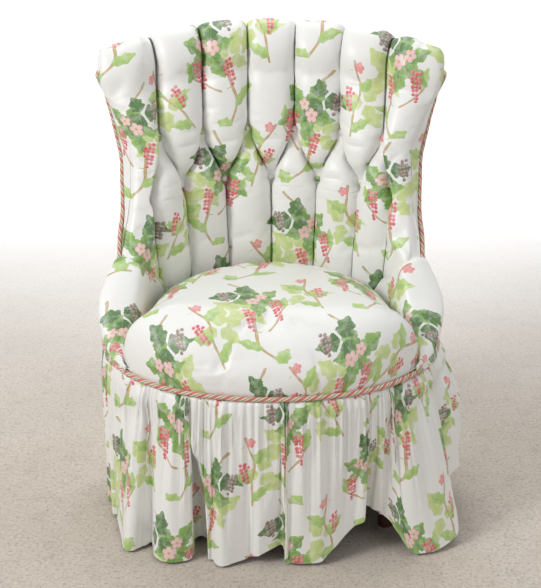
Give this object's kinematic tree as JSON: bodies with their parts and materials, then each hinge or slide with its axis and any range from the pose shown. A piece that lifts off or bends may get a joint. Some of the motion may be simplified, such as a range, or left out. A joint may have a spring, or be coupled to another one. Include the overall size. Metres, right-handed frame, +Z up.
{
  "type": "slipper chair",
  "caption": "Low slipper chair with a deep-buttoned tub back, small padded arms, domed sprung seat, corded seams and a gathered skirt over turned legs.",
  "frame": {"origin": "on the floor, under the middle of the whole width and depth", "axes": "+Z up, the sitter faces -Y, +X is to the right of a viewer who faces the chair"},
  "size_m": [0.6979, 0.577, 0.872],
  "materials": {
    "bolt_steel": "zinc-plated",
    "burlap": "open jute weave",
    "button_cloth": "covered in the printed chintz",
    "cord": "twisted cotton cord in coral, sage green and cream",
    "cover_cloth": "glazed cotton chintz with a printed botanical pattern",
    "dust_cloth": "black cambric",
    "frame_wood": "sawn hardwood, unfinished",
    "glide_metal": "nickel-plated nail glides",
    "leg_wood": "dark red-brown stain, satin lacquer",
    "skirt_cloth": "glazed cotton chintz with a printed botanical pattern, lined",
    "spring_steel": "coppered upholstery spring wire",
    "stuffing": "curled hair and cotton felt",
    "tape": "cotton tape",
    "twine": "waxed hemp twine",
    "webbing": "jute webbing"
  },
  "bodies": {
    "root": {"arm_board_left": "frame_wood", "arm_board_right": "frame_wood", "arm_cover_left": "cover_cloth", "arm_cover_right": "cover_cloth", "arm_padding_left": "stuffing", "arm_padding_right": "stuffing", "back_burlap": "burlap", "back_edge_cord": "cord", "back_padding": "stuffing", "back_post_left": "frame_wood", "back_post_right": "frame_wood", "back_webbing": "webbing", "corner_block_front_left": "frame_wood", "corner_block_front_right": "frame_wood", "corner_block_rear_left": "frame_wood", "corner_block_rear_right": "frame_wood", "crest_rail": "frame_wood", "dust_cover": "dust_cloth", "front_leg_left": "leg_wood", "front_leg_right": "leg_wood", "glide_front_left": "glide_metal", "glide_front_right": "glide_metal", "glide_rear_left": "glide_metal", "glide_rear_right": "glide_metal", "inside_back_cover": "cover_cloth", "leg_bolts": "bolt_steel", "lower_back_rail": "frame_wood", "outside_back_cover": "cover_cloth", "rear_leg_left": "leg_wood", "rear_leg_right": "leg_wood", "seat_burlap": "burlap", "seat_cover": "cover_cloth", "seat_edge_roll": "stuffing", "seat_padding": "stuffing", "seat_rail_front": "frame_wood", "seat_rail_left": "frame_wood", "seat_rail_rear": "frame_wood", "seat_rail_right": "frame_wood", "seat_spring_1": "spring_steel", "seat_spring_2": "spring_steel", "seat_spring_3": "spring_steel", "seat_spring_4": "spring_steel", "seat_spring_5": "spring_steel", "seat_spring_6": "spring_steel", "seat_spring_7": "spring_steel", "seat_spring_8": "spring_steel", "seat_spring_9": "spring_steel", "seat_webbing_crosswise": "webbing", "seat_webbing_lengthwise": "webbing", "skirt": "skirt_cloth", "skirt_band": "tape", "skirt_cord": "cord", "spring_twine": "twine", "tufting_buttons": "button_cloth", "tufting_twine": "twine"}
  },
  "joints": []
}
